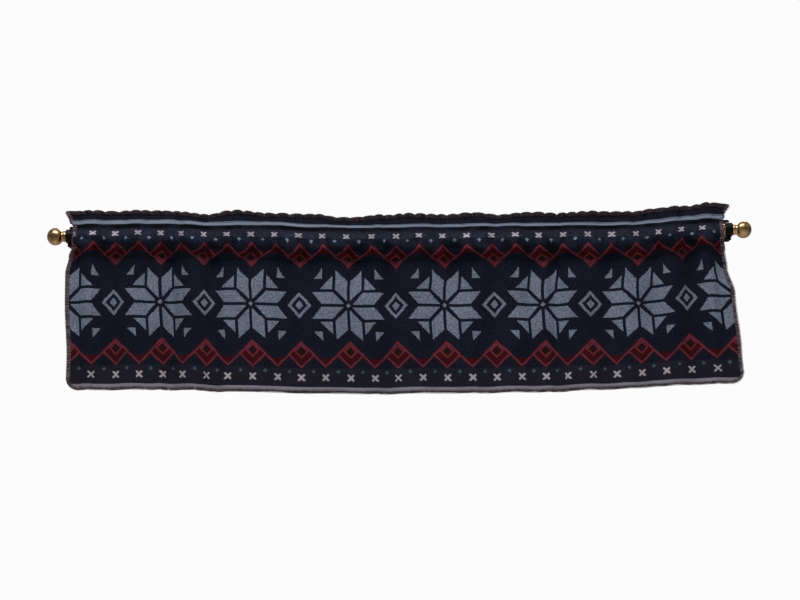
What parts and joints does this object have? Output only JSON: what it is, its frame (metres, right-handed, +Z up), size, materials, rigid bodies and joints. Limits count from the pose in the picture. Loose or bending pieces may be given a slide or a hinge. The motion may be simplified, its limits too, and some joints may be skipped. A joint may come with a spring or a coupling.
{
  "type": "window valance on a curtain rod",
  "caption": "Straight rod-pocket window valance of border-woven blanket cloth with a stand-up heading, hung on a metal tube rod with ball finials and wall brackets.",
  "frame": {"origin": "on the wall, midway between the two brackets, at the height of the rod's axis", "axes": "+X along the rod to the right as seen from the room, +Y into the wall, +Z up"},
  "size_m": [1.606, 0.1199, 0.4317],
  "materials": {
    "cloth": "border-woven blanket cloth: navy ground with grey-blue stars, dark red zigzags, off-white crosses and grey stripes, soft and slightly heathered",
    "dark_yarn": "maroon-brown overcast yarn",
    "light_yarn": "taupe overcast yarn",
    "bronze": "aged bronze, lacquered, darker in the grooves",
    "black_metal": "satin black paint"
  },
  "bodies": {
    "root": {"valance_cloth": "cloth", "edging_heading": "dark_yarn", "edging_hem": "dark_yarn", "edging_left": "light_yarn", "edging_right": "light_yarn", "curtain_rod": "bronze", "finial_left": "bronze", "finial_right": "bronze", "bracket_left": "black_metal", "bracket_right": "black_metal", "set_screw_left": "black_metal", "set_screw_right": "black_metal"}
  },
  "joints": []
}
